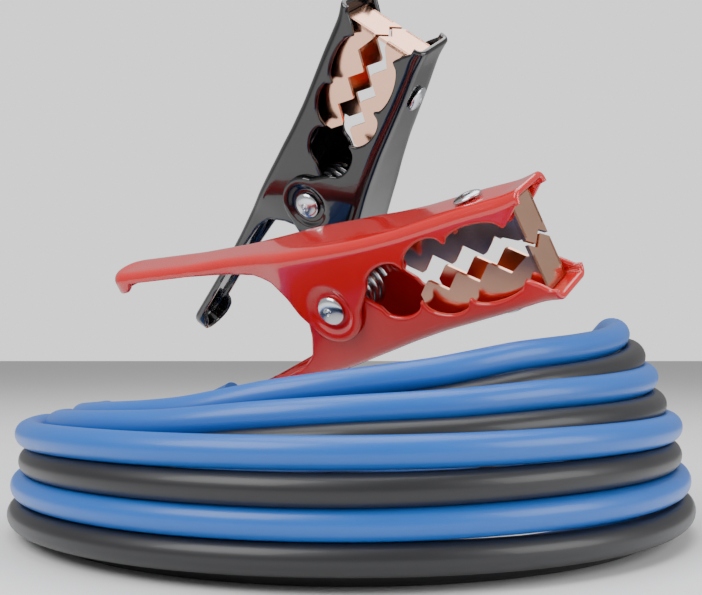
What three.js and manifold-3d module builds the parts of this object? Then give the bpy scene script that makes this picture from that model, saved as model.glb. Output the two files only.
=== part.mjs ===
// A set of car jumper cables: a blue lead and a black lead wound together in a fanned coil,
// with a red clamp on each end of the blue lead and a black clamp on each end of the black one.
// Millimetres, +Z up, the coil lying on the floor at Z 0 and its fanned front towards -Y.
// A clamp has its own frame: +X to the jaws, +Y to the shell with the outer ears, +Z along the pivot.
import * as THREE from "three";
import { mergeVertices } from "three/addons/utils/BufferGeometryUtils.js";
import Module from "manifold-3d";

const wasm = await Module();
wasm.setup();

// Cable
const CABLE_DIAMETER = 8;
const CABLE_SIDES = 10;
const CLEARANCE = 0.3;

// Clamp: lengths along its axis from the pivot, and the stamped shells
const HANDLE_LENGTH = 102;
const NOSE_LENGTH = 74;
const SHELL_WALL = 2;
const CORNER_RADIUS = 3.6;
const EAR_RADIUS = 11;
const EAR_HALF_WIDTH = 14.6;
const HANDLE_HALF_WIDTH = 9.3;
const NOSE_HALF_WIDTH = 9.6;
const HANDLE_TOP = 35.5;
const NOSE_TOP = 15.8;
const EDGE_DEPTH = 4.4;
const TAB_DEPTH = 8.6;
const TAB_LENGTH = 7;

// Pivot, spring and jaw rivets
const PIVOT_RADIUS = 3.2;
const PIVOT_HOLE_CLEARANCE = 0.35;
const PIVOT_HEAD_RADIUS = 4.9;
const PIVOT_HEAD_HEIGHT = 1.9;
const SPRING_RADIUS = 7.2;
const SPRING_WIRE = 1.9;
const SPRING_TURNS = 5;
const SPRING_PITCH = 3.6;
const JAW_RIVET_RADIUS = 2;
const JAW_RIVET_HEAD_RADIUS = 4.4;
const JAW_RIVET_HEAD_HEIGHT = 1.5;
const JAW_RIVET_PLACE = 54;
const WEB_AT_RIVET = 16.9;
const WEB_TO_TRAY = 0.9;

// Copper jaw: a toothed tray riveted inside the nose of each shell
const JAW_START = 29;
const JAW_FRONT = 69.5;
const JAW_HALF_WIDTH = 6.4;
const JAW_PLATE = 1.1;
const TOOTH_PITCH = 10.6;
const TOOTH_HEIGHT = 3.6;
const BITE_GAP = 1;
const BITE_ZIGZAG = 1.6;

// Coil: radius and height of each turn's centre line, lowest turn first, at the angles below,
// which run from the right round the front to the left and then the back.
const STATION_ANGLES = [0, 50, 90, 130, 180, 215, 270, 292, 318];
const FLOOR_LINE = CABLE_DIAMETER / 2;
const SECOND_LINE = 11.2;
const THIRD_LINE = 18.2;
const BLUE_TURNS = [
  [[88, FLOOR_LINE], [90, FLOOR_LINE], [90.3, FLOOR_LINE], [89.5, FLOOR_LINE], [88, FLOOR_LINE],
    [101, FLOOR_LINE], [110, FLOOR_LINE], [103, FLOOR_LINE], [104.5, 18.5]],
  [[102.5, 16.6], [105.5, 16.3], [106, 15.7], [105, 15.4], [103, 14.6],
    [113, SECOND_LINE], [122, SECOND_LINE], [115, SECOND_LINE], [109, 29.2]],
  [[99.4, 32.3], [104.6, 32.4], [105.8, 31.6], [105, 31.2], [101.3, 29.4],
    [117, THIRD_LINE], [126, THIRD_LINE], [119, THIRD_LINE], [110, 37.3]],
  [[94.8, 47.6], [94.6, 44], [94.4, 40.2], [94, 35], [93.9, 31],
    [101, THIRD_LINE], [110, THIRD_LINE], [103, THIRD_LINE], [96.5, 42.2]],
  [[87, 61.4], [85, 54.6], [83.8, 46.3], [85.8, 37.2], [86.8, 33.2]],
];
const BLACK_TURNS = [
  [[96, FLOOR_LINE], [98, FLOOR_LINE], [98.3, FLOOR_LINE], [97.6, FLOOR_LINE], [96, FLOOR_LINE],
    [109, FLOOR_LINE], [118, FLOOR_LINE], [111, FLOOR_LINE], [112.5, 14.5]],
  [[104, 7.8], [106, 7.6], [106, 7.8], [105.4, 7.3], [104, 6],
    [117, FLOOR_LINE], [126, FLOOR_LINE], [119, FLOOR_LINE], [113.5, 22.5]],
  [[98.5, 24.2], [105, 24.4], [107, 23.4], [105, 23.3], [99.3, 21.8],
    [105, SECOND_LINE], [114, SECOND_LINE], [107, SECOND_LINE], [101.5, 32]],
  [[96, 39.6], [99, 36.8], [98.3, 33.9], [95.5, 28.4], [91.5, 21],
    [109, THIRD_LINE], [118, THIRD_LINE], [111, THIRD_LINE], [104.5, 43.8]],
  [[91.7, 54.8], [89.5, 47.2], [86.8, 39], [86, 31.2], [85, 25.5]],
];
const COIL_STEPS = 40;
const COIL_OUTLINE_SIDES = 17;
const UNDERSIDE_TURN = 0.001;

// Where each clamp lies: its pivot, its axis to the jaws, the side of its outer shell, and the shell
// that holds the cable. The far pair lies on the floor behind the coil.
const FAR_TILT = THREE.MathUtils.degToRad(4.4);
const FAR_PIVOT_HEIGHT = EAR_HALF_WIDTH + CLEARANCE + PIVOT_HEAD_HEIGHT + 0.1;
const FAR_SPACING = 76;
const FAR_AXIS = [Math.cos(FAR_TILT), 0, Math.sin(FAR_TILT)];
const FAR_BLACK_Y = 170;
const CLAMPS = [
  { name: "near_red", colour: "red", cable: "inner",
    pivot: [1.2, -13.1, 73.6], axis: [0.731, -0.659, 0.176], outer: [-0.433, -0.249, 0.866] },
  { name: "near_black", colour: "black", cable: "outer",
    pivot: [-8.4, 31.3, 114.3], axis: [0.306, -0.719, 0.624], outer: [0.792, -0.172, -0.586] },
  { name: "far_black", colour: "black", cable: "inner",
    pivot: [8, FAR_BLACK_Y, FAR_PIVOT_HEIGHT], axis: FAR_AXIS, outer: [0, 1, 0] },
  { name: "far_red", colour: "red", cable: "inner",
    pivot: [8, FAR_BLACK_Y + FAR_SPACING, FAR_PIVOT_HEIGHT], axis: FAR_AXIS, outer: [0, 1, 0] },
];

// Leads between the clamps' handles and the coil, as points that the cable passes after the handle
const LEADS = [
  { name: "near_blue_lead", clamp: "near_red", finish: "blue",
    route: [[-66.5, 71, 28.6], [-68, 84, 26.8], [-65, 98, 26.8], [-58, 114, 24.5], [-46, 127, 17],
      [-29, 135, 9], [-8, 138, 5], [14, 138, 4.3], [37, 134, 4.2], [59, 124, 4.2],
      [77, 109, 4.2], [87, 90, 4.2]] },
  { name: "near_black_lead", clamp: "near_black", finish: "cable",
    route: [[-18.5, 109, 30.8], [-16.5, 117, 28.4], [-11, 125, 27], [-1, 130.5, 26.6], [13, 132.5, 24.5],
      [28, 133, 20.5], [44, 133, 16], [61, 130, 12.8], [78, 121, 8.5], [90, 106, 4.8],
      [95.3, 90, 4.2]] },
  { name: "far_blue_lead", clamp: "far_red", finish: "blue",
    route: [[-111, 215.5, 8.2], [-124, 205, 7.2], [-131, 188, 6], [-136, 164, 5], [-139, 138, 6.5],
      [-137, 113, 12], [-127, 93, 19], [-113.5, 75, 26], [-99.5, 58, 28.4]] },
  { name: "far_black_lead", clamp: "far_black", finish: "cable",
    route: [[-111, 139, 8.4], [-121, 128, 8.4], [-124, 114, 9.6], [-115, 95, 16], [-101, 77, 24.4],
      [-90.5, 62, 28.6]] },
];

const FINISH = {
  red: { color: 0xd21f22, roughness: 0.22, metalness: 0 },
  black: { color: 0x101112, roughness: 0.2, metalness: 0 },
  blue: { color: 0x1763b4, roughness: 0.42, metalness: 0 },
  cable: { color: 0x1c1d1f, roughness: 0.45, metalness: 0 },
  steel: { color: 0xb9bdc1, roughness: 0.3, metalness: 1 },
  copper: { color: 0xd08a5b, roughness: 0.28, metalness: 1 },
};

function material(name) {
  return new THREE.MeshStandardMaterial(FINISH[name]);
}

function solidOf(geometry) {
  const plain = geometry.clone();
  plain.deleteAttribute("normal");
  plain.deleteAttribute("uv");
  const merged = mergeVertices(plain, 1e-3);
  return new wasm.Manifold(new wasm.Mesh({
    numProp: 3,
    vertProperties: merged.attributes.position.array,
    triVerts: new Uint32Array(merged.index.array),
  }));
}

function geometryOf(solid) {
  const mesh = solid.getMesh();
  const geometry = new THREE.BufferGeometry();
  geometry.setAttribute("position", new THREE.BufferAttribute(mesh.vertProperties, 3));
  geometry.setIndex(new THREE.BufferAttribute(mesh.triVerts, 1));
  geometry.computeVertexNormals();
  return geometry;
}

function named(name, geometry, finish) {
  const mesh = new THREE.Mesh(geometry, material(finish));
  mesh.name = name;
  return mesh;
}

function shapeOf(points) {
  return new THREE.Shape(points.map(([x, y]) => new THREE.Vector2(x, y)));
}

// Points of an arc about a centre, from one angle to another in degrees.
function arc(x, y, radius, from, to, steps) {
  const points = [];
  for (let i = 0; i <= steps; i++) {
    const angle = THREE.MathUtils.degToRad(from + ((to - from) * i) / steps);
    points.push([x + radius * Math.cos(angle), y + radius * Math.sin(angle)]);
  }
  return points;
}

// A bite in the wall: an arc through its two cusps that bulges to the given depth.
function bite(start, end, depth, steps) {
  const points = [];
  for (let i = 0; i < steps; i++) {
    const t = i / steps;
    const bulge = depth * Math.sqrt(Math.max(0, 1 - (2 * t - 1) ** 2));
    points.push([start[0] + (end[0] - start[0]) * t, start[1] + (end[1] - start[1]) * t + bulge]);
  }
  return points;
}

// Half width of a shell at each station of its length, and the height of its back, for either shell.
function stationsOf(inner) {
  const ear = inner ? EAR_HALF_WIDTH - SHELL_WALL - CLEARANCE : EAR_HALF_WIDTH;
  const rise = (HANDLE_TOP - 20) / HANDLE_LENGTH;
  return [
    { a: -HANDLE_LENGTH, half: HANDLE_HALF_WIDTH * 0.5, top: HANDLE_TOP - 0.6 },
    { a: -HANDLE_LENGTH + 1.6, half: HANDLE_HALF_WIDTH * 0.76, top: HANDLE_TOP - 0.1 },
    { a: -HANDLE_LENGTH + 4.5, half: HANDLE_HALF_WIDTH * 0.93, top: HANDLE_TOP - 0.6 },
    { a: -HANDLE_LENGTH + 9, half: HANDLE_HALF_WIDTH, top: HANDLE_TOP - 1.4 },
    { a: -63, half: HANDLE_HALF_WIDTH, top: HANDLE_TOP - 39 * rise - 0.9 },
    { a: -38, half: HANDLE_HALF_WIDTH, top: 25.4 },
    { a: -24, half: HANDLE_HALF_WIDTH + (ear - HANDLE_HALF_WIDTH) * 0.35, top: 23.7 },
    { a: -12, half: HANDLE_HALF_WIDTH + (ear - HANDLE_HALF_WIDTH) * (inner ? 0.86 : 0.97), top: 22.3 },
    { a: 0, half: ear, top: 20.7 },
    { a: 12, half: ear, top: 19 },
    { a: 34, half: ear * 0.6 + NOSE_HALF_WIDTH * 0.4, top: 17.2 },
    { a: 55, half: ear * 0.2 + NOSE_HALF_WIDTH * 0.8, top: 16.9 },
    { a: NOSE_LENGTH - 5, half: NOSE_HALF_WIDTH, top: NOSE_TOP + 0.4 },
    { a: NOSE_LENGTH + 3, half: NOSE_HALF_WIDTH + 0.3, top: NOSE_TOP },
  ];
}

// A deep box with rounded upper edges swept along the clamp, each station setting its width and top.
function sweep(stations, inset) {
  const unit = 20;
  const depth = 80;
  const radius = Math.max(0.8, CORNER_RADIUS - inset);
  const section = [
    [-unit, -depth],
    [unit, -depth],
    ...arc(unit - radius, -radius, radius, 0, 90, 2),
    ...arc(-unit + radius, -radius, radius, 90, 180, 2),
  ];
  const steps = stations.length - 1;
  const geometry = new THREE.ExtrudeGeometry(shapeOf(section), {
    depth: 1,
    steps,
    bevelEnabled: false,
    curveSegments: 1,
  });
  const place = geometry.attributes.position;
  for (let i = 0; i < place.count; i++) {
    const station = stations[Math.round(place.getZ(i) * steps)];
    const side = Math.sign(place.getX(i));
    const across = Math.abs(place.getX(i)) - unit + station.half - inset;
    place.setXYZ(i, station.a, place.getY(i) + station.top - inset, -side * across);
  }
  return solidOf(geometry);
}

// The side outline of a shell: handle edge, round ear below the pivot, three bites and the nose.
function sideOutline() {
  const cusps = [[17, 3.8], [31.2, 5.2], [47, 8.4], [NOSE_LENGTH - 8, 7.6]];
  const end = -HANDLE_LENGTH;
  const high = 60;
  return [
    [end - 1, HANDLE_TOP - 3],
    [end + 4, HANDLE_TOP - TAB_DEPTH],
    [end + 4 + TAB_LENGTH - 2, HANDLE_TOP - TAB_DEPTH],
    [end + 4 + TAB_LENGTH, HANDLE_TOP - TAB_DEPTH + 1.5],
    [end + 4 + TAB_LENGTH, HANDLE_TOP - EDGE_DEPTH - 2.2],
    [-60, 24.6],
    [-40, 20.7],
    [-25, 17.6],
    [-18, 12.2],
    [-15, 6.6],
    ...arc(0, 0, EAR_RADIUS + 1.6, 168, 205, 2),
    ...arc(0, 0, EAR_RADIUS, 225, 345, 7),
    [13.4, -0.4],
    ...bite(cusps[0], cusps[1], 4.4, 5),
    ...bite(cusps[1], cusps[2], 5.2, 5),
    ...bite(cusps[2], cusps[3], 3.8, 5),
    cusps[3],
    [NOSE_LENGTH - 4.2, 9.6],
    [NOSE_LENGTH - 1.6, 12.4],
    [NOSE_LENGTH, NOSE_TOP - 1.6],
    [NOSE_LENGTH + 0.4, NOSE_TOP + 1],
    [NOSE_LENGTH, high],
    [end - 1, high],
  ];
}

function prism(outline, halfDepth) {
  const geometry = new THREE.ExtrudeGeometry(shapeOf(outline), {
    depth: 2 * halfDepth,
    bevelEnabled: false,
  });
  geometry.translate(0, 0, -halfDepth);
  return solidOf(geometry);
}

function cylinder(radius, halfLength, sides) {
  const geometry = new THREE.CylinderGeometry(radius, radius, 2 * halfLength, sides);
  geometry.rotateX(Math.PI / 2);
  return solidOf(geometry);
}

function rivetHole() {
  const reach = NOSE_TOP + 20;
  const geometry = new THREE.CylinderGeometry(
    JAW_RIVET_RADIUS + CLEARANCE, JAW_RIVET_RADIUS + CLEARANCE, reach, 10);
  geometry.translate(JAW_RIVET_PLACE, reach / 2, 0);
  return solidOf(geometry);
}

// One stamped shell with its vinyl dip: a channel cut to the side outline, with the pivot hole.
function shellGeometry(inner, holdsCable) {
  const stations = stationsOf(inner);
  const cavity = stations.map((station) => ({ ...station }));
  cavity[0].a -= holdsCable ? 3 : -SHELL_WALL;
  if (!holdsCable) cavity[1].a += SHELL_WALL;
  if (holdsCable) cavity[0].half = HANDLE_HALF_WIDTH * 0.9;
  cavity[cavity.length - 1].a += 4;
  const channel = sweep(stations, 0).subtract(sweep(cavity, SHELL_WALL));
  const pivotHole = cylinder(PIVOT_RADIUS + PIVOT_HOLE_CLEARANCE, 30, 16);
  return geometryOf(channel.intersect(prism(sideOutline(), 30)).subtract(pivotHole).subtract(rivetHole()));
}

// The tray's side outline: its plate against the web, the teeth down its flanges and the front plate.
function trayOutline(top) {
  const tip = BITE_GAP / 2 + BITE_ZIGZAG;
  const points = [[JAW_FRONT, top], [JAW_START, top]];
  const teeth = 3;
  points.push([JAW_START, tip + TOOTH_HEIGHT]);
  for (let i = 0; i < teeth; i++) {
    const from = JAW_START + 1 + i * TOOTH_PITCH;
    points.push([from + TOOTH_PITCH / 2, tip], [from + TOOTH_PITCH, tip + TOOTH_HEIGHT]);
  }
  points.push([JAW_FRONT - 4, tip]);
  points.push([JAW_FRONT, tip]);
  return points;
}

// A wedge across the jaw that trims the front plate to its zigzag edge.
function biteCutter() {
  const low = -10;
  const across = JAW_HALF_WIDTH + 2;
  const zigzag = [
    [-across, low],
    [across, low],
    [across, BITE_GAP / 2 - BITE_ZIGZAG],
    [across / 3, BITE_GAP / 2 + BITE_ZIGZAG],
    [-across / 3, BITE_GAP / 2 - BITE_ZIGZAG],
    [-across, BITE_GAP / 2 + BITE_ZIGZAG],
  ];
  const geometry = new THREE.ExtrudeGeometry(shapeOf(zigzag), { depth: 12, bevelEnabled: false });
  geometry.rotateY(Math.PI / 2);
  geometry.translate(JAW_FRONT - 6, 0, 0);
  return solidOf(geometry);
}

function jawGeometry() {
  const top = WEB_AT_RIVET - SHELL_WALL - WEB_TO_TRAY;
  const tray = prism(trayOutline(top), JAW_HALF_WIDTH);
  const hollow = prism([
    [JAW_FRONT - JAW_PLATE, top - JAW_PLATE],
    [JAW_START - 4, top - JAW_PLATE],
    [JAW_START - 4, -10],
    [JAW_FRONT - JAW_PLATE, -10],
  ].reverse(), JAW_HALF_WIDTH - JAW_PLATE);
  const lip = prism([
    [JAW_FRONT - JAW_PLATE, 6],
    [JAW_FRONT - JAW_PLATE, -2.2],
    [JAW_FRONT, -2.2],
    [JAW_FRONT, 6],
  ], JAW_HALF_WIDTH);
  return geometryOf(tray.subtract(hollow).add(lip).subtract(biteCutter()).subtract(rivetHole()));
}

// A rivet turned on its axis: a shank with a low domed head at each end.
function rivetGeometry(radius, headRadius, headHeight, from, to, sides) {
  const dome = (base, way) => [
    [headRadius, base],
    [headRadius * 0.9, base + way * headHeight * 0.6],
    [headRadius * 0.55, base + way * headHeight * 0.95],
    [0, base + way * headHeight],
  ];
  const lower = dome(from, -1).reverse();
  const upper = dome(to, 1);
  const profile = [...lower, [radius, from], [radius, to], ...upper];
  return new THREE.LatheGeometry(profile.map(([x, y]) => new THREE.Vector2(x, y)), sides);
}

class Helix extends THREE.Curve {
  getPoint(t, target = new THREE.Vector3()) {
    const angle = t * SPRING_TURNS * 2 * Math.PI;
    const along = (t - 0.5) * SPRING_TURNS * SPRING_PITCH;
    return target.set(SPRING_RADIUS * Math.cos(angle), SPRING_RADIUS * Math.sin(angle), along);
  }
}

function roundSection(radius, sides) {
  return shapeOf(arc(0, 0, radius, 0, 360 - 360 / sides, sides - 1));
}

function springGeometry() {
  return new THREE.ExtrudeGeometry(roundSection(SPRING_WIRE / 2, 5), {
    steps: SPRING_TURNS * 10,
    extrudePath: new Helix(),
    bevelEnabled: false,
  });
}

function frameOf(clamp) {
  const along = new THREE.Vector3(...clamp.axis).normalize();
  const outer = new THREE.Vector3(...clamp.outer);
  outer.addScaledVector(along, -outer.dot(along)).normalize();
  const pivot = new THREE.Vector3().crossVectors(along, outer);
  return new THREE.Matrix4().makeBasis(along, outer, pivot).setPosition(...clamp.pivot);
}

// A clamp: two shells, a copper jaw and its rivet in each, the pivot rivet and the spring round it.
function makeClamp(clamp) {
  const group = new THREE.Group();
  const headFrom = EAR_HALF_WIDTH + CLEARANCE;
  const pivot = rivetGeometry(PIVOT_RADIUS, PIVOT_HEAD_RADIUS, PIVOT_HEAD_HEIGHT, -headFrom, headFrom, 16);
  pivot.rotateX(Math.PI / 2);
  group.add(named(`${clamp.name}_pivot_rivet`, pivot, "steel"));
  group.add(named(`${clamp.name}_spring`, springGeometry(), "steel"));
  for (const side of ["outer", "inner"]) {
    const inner = side === "inner";
    const half = new THREE.Group();
    half.add(named(`${clamp.name}_${side}_shell`, shellGeometry(inner, clamp.cable === side), clamp.colour));
    half.add(named(`${clamp.name}_${side}_jaw`, jawGeometry(), "copper"));
    const from = WEB_AT_RIVET - SHELL_WALL - WEB_TO_TRAY - JAW_PLATE - CLEARANCE;
    const to = WEB_AT_RIVET + CLEARANCE;
    const rivet = rivetGeometry(JAW_RIVET_RADIUS, JAW_RIVET_HEAD_RADIUS, JAW_RIVET_HEAD_HEIGHT, from, to, 10);
    rivet.translate(JAW_RIVET_PLACE, 0, 0);
    half.add(named(`${clamp.name}_${side}_jaw_rivet`, rivet, "steel"));
    if (inner) half.rotation.x = Math.PI;
    group.add(half);
  }
  group.applyMatrix4(frameOf(clamp));
  return group;
}

// The centre of the cable where it leaves a handle, and the point inside the channel that it comes from.
function cableExit(clamp) {
  const side = clamp.cable === "inner" ? -1 : 1;
  const under = SHELL_WALL + CABLE_DIAMETER / 2 - 0.2;
  const inside = new THREE.Vector3(-66, side * (28.4 - under), 0);
  const mid = new THREE.Vector3(-84, side * (31.3 - under), 0);
  const leave = new THREE.Vector3(-HANDLE_LENGTH - 2, side * (HANDLE_TOP - 1.3 - under), 0);
  return [inside, mid, leave].map((point) => point.applyMatrix4(frameOf(clamp)));
}

function makeLead(lead) {
  const clamp = CLAMPS.find((one) => one.name === lead.clamp);
  const points = [...cableExit(clamp), ...lead.route.map((point) => new THREE.Vector3(...point))];
  const path = new THREE.CatmullRomCurve3(points, false, "centripetal");
  const geometry = new THREE.ExtrudeGeometry(roundSection(CABLE_DIAMETER / 2, CABLE_SIDES), {
    steps: Math.round(path.getLength() / (2.2 * CABLE_DIAMETER)) + 3,
    extrudePath: path,
    bevelEnabled: false,
  });
  return named(lead.name, geometry, lead.finish);
}

// Radius and height of one turn's centre line at an angle, a smooth blend of its two nearest stations.
// A turn runs on into the next one, whose first station lies a whole turn further.
function lay(turns, turn, angle) {
  const here = turns[turn];
  const next = turns[turn + 1];
  const stations = here.map((station, i) => [STATION_ANGLES[i], ...station]);
  if (next) stations.push([360, ...next[0]]);
  let i = 0;
  while (i < stations.length - 2 && stations[i + 1][0] <= angle) i++;
  const [from, to] = [stations[i], stations[i + 1]];
  const t = Math.min(1, (angle - from[0]) / (to[0] - from[0]));
  const ease = (1 - Math.cos(Math.PI * t)) / 2;
  const blend = 0.5 * (t + ease);
  return [from[1] + (to[1] - from[1]) * blend, from[2] + (to[2] - from[2]) * blend];
}

function centresAt(angle) {
  const last = BLUE_TURNS.length - 1;
  const centres = [];
  for (const turns of [BLUE_TURNS, BLACK_TURNS]) {
    for (let turn = 0; turn <= last; turn++) {
      if (turn < last || angle <= 180) centres.push(lay(turns, turn, angle));
    }
  }
  return centres;
}

// The coil's outer shape: at each step round, the outline that wraps every turn's section there.
function coilGeometry() {
  const ring = new THREE.LatheGeometry(
    arc(100, 30, 10, -90, 270, COIL_OUTLINE_SIDES).map(([x, y]) => new THREE.Vector2(x, y)), COIL_STEPS);
  const place = ring.attributes.position;
  const radius = CABLE_DIAMETER / 2;
  const sweepAngle = 2 * Math.PI - 2 * UNDERSIDE_TURN;
  for (let i = 0; i < place.count; i++) {
    const step = Math.floor(i / (COIL_OUTLINE_SIDES + 1)) % COIL_STEPS;
    const side = (i % (COIL_OUTLINE_SIDES + 1)) % COIL_OUTLINE_SIDES;
    const turnAngle = (360 * step) / COIL_STEPS;
    const facing = -Math.PI / 2 - UNDERSIDE_TURN - (sweepAngle * side) / (COIL_OUTLINE_SIDES - 1);
    const [x, z] = [Math.cos(facing), Math.sin(facing)];
    let best = null;
    for (const centre of centresAt(turnAngle)) {
      const reach = centre[0] * x + centre[1] * z;
      if (!best || reach > best.reach) best = { reach, centre };
    }
    const out = best.centre[0] + radius * x;
    const up = Math.max(0, best.centre[1] + radius * z);
    const around = THREE.MathUtils.degToRad(-turnAngle);
    place.setXYZ(i, out * Math.cos(around), out * Math.sin(around), up);
  }
  return geometryOf(solidOf(ring));
}

const set = new THREE.Group();
set.add(named("cable_coil", coilGeometry(), "blue"));
for (const clamp of CLAMPS) set.add(makeClamp(clamp));
for (const lead of LEADS) set.add(makeLead(lead));

// The origin is the middle of the set's footprint, on the floor.
set.updateMatrixWorld(true);
const middle = new THREE.Box3().setFromObject(set, true).getCenter(new THREE.Vector3());
set.position.set(-middle.x, -middle.y, 0);

export default set;
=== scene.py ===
"""Car jumper cable: a blue and a black lead wound in a fanned coil, with a sprung clamp at each end.

Sizes are in millimetres in the coil's own frame (the coil's axis at X 0 and Y 0, the floor at Z 0)
or in a clamp's frame (X to the jaws, Y to the outer shell, Z along the pivot). They are turned
into metres in the part's frame when a mesh is made.
"""
import logging
import math
from dataclasses import dataclass, field
from enum import Enum
from typing import Callable, Sequence

import bpy
import numpy as np
from mathutils import Matrix, Vector


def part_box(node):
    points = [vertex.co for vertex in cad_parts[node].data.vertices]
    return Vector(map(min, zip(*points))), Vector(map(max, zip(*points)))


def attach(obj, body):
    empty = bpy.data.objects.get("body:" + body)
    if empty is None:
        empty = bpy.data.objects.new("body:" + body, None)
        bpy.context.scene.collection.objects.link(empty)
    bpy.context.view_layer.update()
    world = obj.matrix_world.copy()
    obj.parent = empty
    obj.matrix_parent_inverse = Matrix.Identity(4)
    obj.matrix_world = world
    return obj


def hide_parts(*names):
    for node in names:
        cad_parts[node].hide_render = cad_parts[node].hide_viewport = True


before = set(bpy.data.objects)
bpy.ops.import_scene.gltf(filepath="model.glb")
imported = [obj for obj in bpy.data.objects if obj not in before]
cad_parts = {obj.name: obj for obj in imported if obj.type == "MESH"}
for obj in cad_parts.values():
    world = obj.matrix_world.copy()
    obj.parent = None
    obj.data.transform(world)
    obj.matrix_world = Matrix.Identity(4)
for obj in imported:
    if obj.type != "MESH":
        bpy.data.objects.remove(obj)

LOG = logging.getLogger("jumper_cable")
MM = 0.001
FIXED_BODY = "coil_and_fixed_halves"
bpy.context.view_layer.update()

Point = Sequence[float]
Mesh = tuple[np.ndarray, list[list[int]]]
Profile = Callable[[np.ndarray], np.ndarray]


class Side(Enum):
    """The shell of a clamp that a piece belongs to."""

    OUTER = "outer"
    INNER = "inner"


@dataclass(frozen=True)
class Pose:
    """Where a clamp lies: its pivot, its axis to the jaws and the side of its outer shell."""

    pivot: Point
    axis: Point
    outer: Point

    def matrix(self, offset: Vector) -> Matrix:
        """The clamp's frame as a matrix in metres in the part's frame.

        Args:
            offset: place of the coil's axis in the part's frame, in metres.

        Returns:
            A matrix that takes millimetres in the clamp's frame to metres in the part's.
        """
        along = Vector(self.axis).normalized()
        outer = Vector(self.outer)
        outer = (outer - along * outer.dot(along)).normalized()
        pin = along.cross(outer)
        turn = Matrix((along, outer, pin)).transposed().to_4x4()
        return Matrix.Translation(Vector(self.pivot) * MM + offset) @ turn @ Matrix.Scale(MM, 4)


FAR_TILT = math.radians(4.4)
FAR_AXIS = (math.cos(FAR_TILT), 0.0, math.sin(FAR_TILT))
FAR_PIVOT_HEIGHT = 16.9
FAR_BLACK_Y = 170
FAR_SPACING = 76
POSES = {
    "near_red": Pose((1.2, -13.1, 73.6), (0.731, -0.659, 0.176), (-0.433, -0.249, 0.866)),
    "near_black": Pose((-8.4, 31.3, 114.3), (0.306, -0.719, 0.624), (0.792, -0.172, -0.586)),
    "far_black": Pose((8, FAR_BLACK_Y, FAR_PIVOT_HEIGHT), FAR_AXIS, (0, 1, 0)),
    "far_red": Pose((8, FAR_BLACK_Y + FAR_SPACING, FAR_PIVOT_HEIGHT), FAR_AXIS, (0, 1, 0)),
}


def coil_axis() -> Vector:
    """The coil's axis in the part's frame, found from the near red clamp's pivot rivet."""
    low, high = (Vector(corner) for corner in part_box("near_red_pivot_rivet"))
    return (low + high) / 2 - Vector(POSES["near_red"].pivot) * MM


OFFSET = coil_axis()


# Finishes

@dataclass(frozen=True)
class Finish:
    """A surface: its colour and shine, and how much they vary over it."""

    name: str
    slot: str
    color: tuple[float, float, float]
    roughness: float
    metallic: float = 0.0
    coat: float = 0.0
    mottle: float = 0.06
    mottle_scale: float = 90.0
    bump: float = 0.02
    bump_scale: float = 260.0

    def material(self) -> bpy.types.Material:
        """The finish as a material, made once.

        Returns:
            The material, whose variation comes from the shared mottle group.
        """
        known = bpy.data.materials.get(self.name)
        if known:
            return known
        material = bpy.data.materials.new(self.name)
        material.use_nodes = True
        tree = material.node_tree
        shader = tree.nodes["Principled BSDF"]
        shader.inputs["Roughness"].default_value = self.roughness
        shader.inputs["Metallic"].default_value = self.metallic
        shader.inputs["Coat Weight"].default_value = self.coat
        shader.inputs["Coat Roughness"].default_value = 0.03
        shader.inputs["Base Color"].default_value = (*self.color, 1)
        mottle = tree.nodes.new("ShaderNodeGroup")
        mottle.node_tree = mottle_group()
        mottle.inputs["Color"].default_value = (*self.color, 1)
        mottle.inputs["Roughness"].default_value = self.roughness
        mottle.inputs["Amount"].default_value = self.mottle
        mottle.inputs["Scale"].default_value = self.mottle_scale
        mottle.inputs["Bump"].default_value = self.bump
        mottle.inputs["Bump Scale"].default_value = self.bump_scale
        tree.links.new(mottle.outputs["Color"], shader.inputs["Base Color"])
        tree.links.new(mottle.outputs["Roughness"], shader.inputs["Roughness"])
        tree.links.new(mottle.outputs["Normal"], shader.inputs["Normal"])
        return material


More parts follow.
